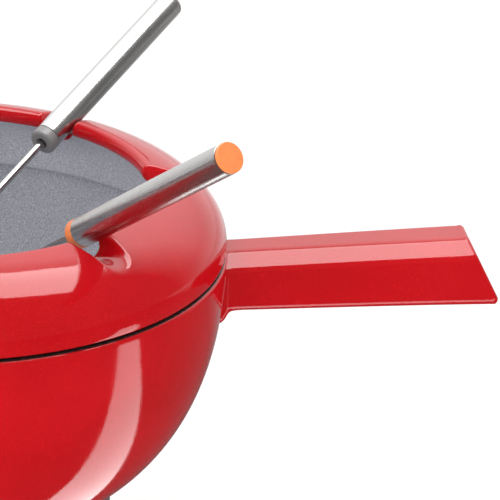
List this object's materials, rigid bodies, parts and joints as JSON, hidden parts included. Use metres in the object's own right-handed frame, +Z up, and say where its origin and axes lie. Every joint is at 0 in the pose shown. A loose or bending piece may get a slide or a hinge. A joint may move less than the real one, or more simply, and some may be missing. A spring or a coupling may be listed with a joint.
{
  "type": "fondue pot set",
  "caption": "Enamelled fondue pot with a side handle, a domed guard ring notched for forks, long forks with coloured ends, and a stand with a paste burner.",
  "frame": {"origin": "centre of the base pad's underside, on the table, under the pot's axis", "axes": "+Z up along the pot's axis, +X along the pot's handle, +Y to the back of the pictured view"},
  "size_m": [0.3681, 0.3166, 0.2991],
  "materials": {
    "base_pad": "matt soft pad",
    "base_plate": "brushed",
    "support_band": "brushed",
    "leg_1": "satin",
    "leg_2": "satin",
    "leg_3": "satin",
    "leg_4": "satin",
    "burner_cup": "brushed",
    "fuel_cup": "satin",
    "wick_pad": "fibre",
    "wire_gauze": "woven wire",
    "burner_cover": "brushed",
    "regulator_plate": "satin",
    "regulator_lever": "satin",
    "regulator_grip": "matt",
    "snuffer_lid": "brushed",
    "snuffer_knob": "matt",
    "pot_body": "gloss red enamel outside, speckled grey enamel inside",
    "fork_guard": "gloss red enamel above, speckled grey enamel below",
    "fork_1_handle": "brushed tube",
    "fork_1_cap": "satin coloured end",
    "fork_1_ferrule": "satin coloured ferrule",
    "fork_1_shaft": "polished",
    "fork_2_handle": "brushed tube",
    "fork_2_cap": "satin coloured end",
    "fork_2_ferrule": "satin coloured ferrule",
    "fork_2_shaft": "polished",
    "fork_3_handle": "brushed tube",
    "fork_3_cap": "satin coloured end",
    "fork_3_ferrule": "satin coloured ferrule",
    "fork_3_shaft": "polished",
    "fork_4_handle": "brushed tube",
    "fork_4_cap": "satin coloured end",
    "fork_4_ferrule": "satin coloured ferrule",
    "fork_4_shaft": "polished",
    "fork_5_handle": "brushed tube",
    "fork_5_cap": "satin coloured end",
    "fork_5_ferrule": "satin coloured ferrule",
    "fork_5_shaft": "polished",
    "fork_6_handle": "brushed tube",
    "fork_6_cap": "satin coloured end",
    "fork_6_ferrule": "satin coloured ferrule",
    "fork_6_shaft": "polished"
  },
  "bodies": {
    "stand": {"base_pad": "base_pad", "base_plate": "base_plate", "support_band": "support_band", "leg_1": "leg_1", "leg_2": "leg_2", "leg_3": "leg_3", "leg_4": "leg_4"},
    "burner": {"burner_cup": "burner_cup", "fuel_cup": "fuel_cup", "wick_pad": "wick_pad", "wire_gauze": "wire_gauze"},
    "cover": {"burner_cover": "burner_cover"},
    "regulator": {"regulator_plate": "regulator_plate", "regulator_lever": "regulator_lever", "regulator_grip": "regulator_grip"},
    "snuffer": {"snuffer_lid": "snuffer_lid", "snuffer_knob": "snuffer_knob"},
    "pot": {"pot_body": "pot_body"},
    "guard": {"fork_guard": "fork_guard"},
    "fork_1": {"fork_1_handle": "fork_1_handle", "fork_1_cap": "fork_1_cap", "fork_1_ferrule": "fork_1_ferrule", "fork_1_shaft": "fork_1_shaft"},
    "fork_2": {"fork_2_handle": "fork_2_handle", "fork_2_cap": "fork_2_cap", "fork_2_ferrule": "fork_2_ferrule", "fork_2_shaft": "fork_2_shaft"},
    "fork_3": {"fork_3_handle": "fork_3_handle", "fork_3_cap": "fork_3_cap", "fork_3_ferrule": "fork_3_ferrule", "fork_3_shaft": "fork_3_shaft"},
    "fork_4": {"fork_4_handle": "fork_4_handle", "fork_4_cap": "fork_4_cap", "fork_4_ferrule": "fork_4_ferrule", "fork_4_shaft": "fork_4_shaft"},
    "fork_5": {"fork_5_handle": "fork_5_handle", "fork_5_cap": "fork_5_cap", "fork_5_ferrule": "fork_5_ferrule", "fork_5_shaft": "fork_5_shaft"},
    "fork_6": {"fork_6_handle": "fork_6_handle", "fork_6_cap": "fork_6_cap", "fork_6_ferrule": "fork_6_ferrule", "fork_6_shaft": "fork_6_shaft"}
  },
  "joints": [
    {"name": "burner_lift", "type": "slide", "parent": "stand", "child": "burner", "axis": [0, 0, 1], "range_m": [0, 0.012]},
    {"name": "cover_lift", "type": "slide", "parent": "burner", "child": "cover", "axis": [0, 0, 1], "range_m": [0, 0.012]},
    {"name": "regulator_turn", "type": "hinge", "parent": "cover", "child": "regulator", "pos_m": [0, 0, 0.0477], "axis": [0, 0, 1], "range_deg": [0, 30]},
    {"name": "snuffer_lift", "type": "slide", "parent": "regulator", "child": "snuffer", "axis": [0, 0, 1], "range_m": [0, 0.012]},
    {"name": "pot_lift", "type": "slide", "parent": "stand", "child": "pot", "axis": [0, 0, 1], "range_m": [0, 0.15]},
    {"name": "guard_lift", "type": "slide", "parent": "pot", "child": "guard", "axis": [0, 0, 1], "range_m": [0, 0.12]},
    {"name": "fork_1_draw", "type": "slide", "parent": "guard", "child": "fork_1", "axis": [0.4732, -0.6747, 0.5664], "range_m": [0, 0.16]},
    {"name": "fork_2_draw", "type": "slide", "parent": "guard", "child": "fork_2", "axis": [0.5728, 0.7332, 0.3665], "range_m": [0, 0.16]},
    {"name": "fork_3_draw", "type": "slide", "parent": "guard", "child": "fork_3", "axis": [-0.1741, 0.8614, 0.4772], "range_m": [0, 0.16]},
    {"name": "fork_4_draw", "type": "slide", "parent": "guard", "child": "fork_4", "axis": [-0.7245, 0.3714, 0.5807], "range_m": [0, 0.16]},
    {"name": "fork_5_draw", "type": "slide", "parent": "guard", "child": "fork_5", "axis": [-0.6475, -0.3647, 0.6691], "range_m": [0, 0.16]},
    {"name": "fork_6_draw", "type": "slide", "parent": "guard", "child": "fork_6", "axis": [-0.198, -0.8798, 0.4321], "range_m": [0, 0.16]}
  ]
}
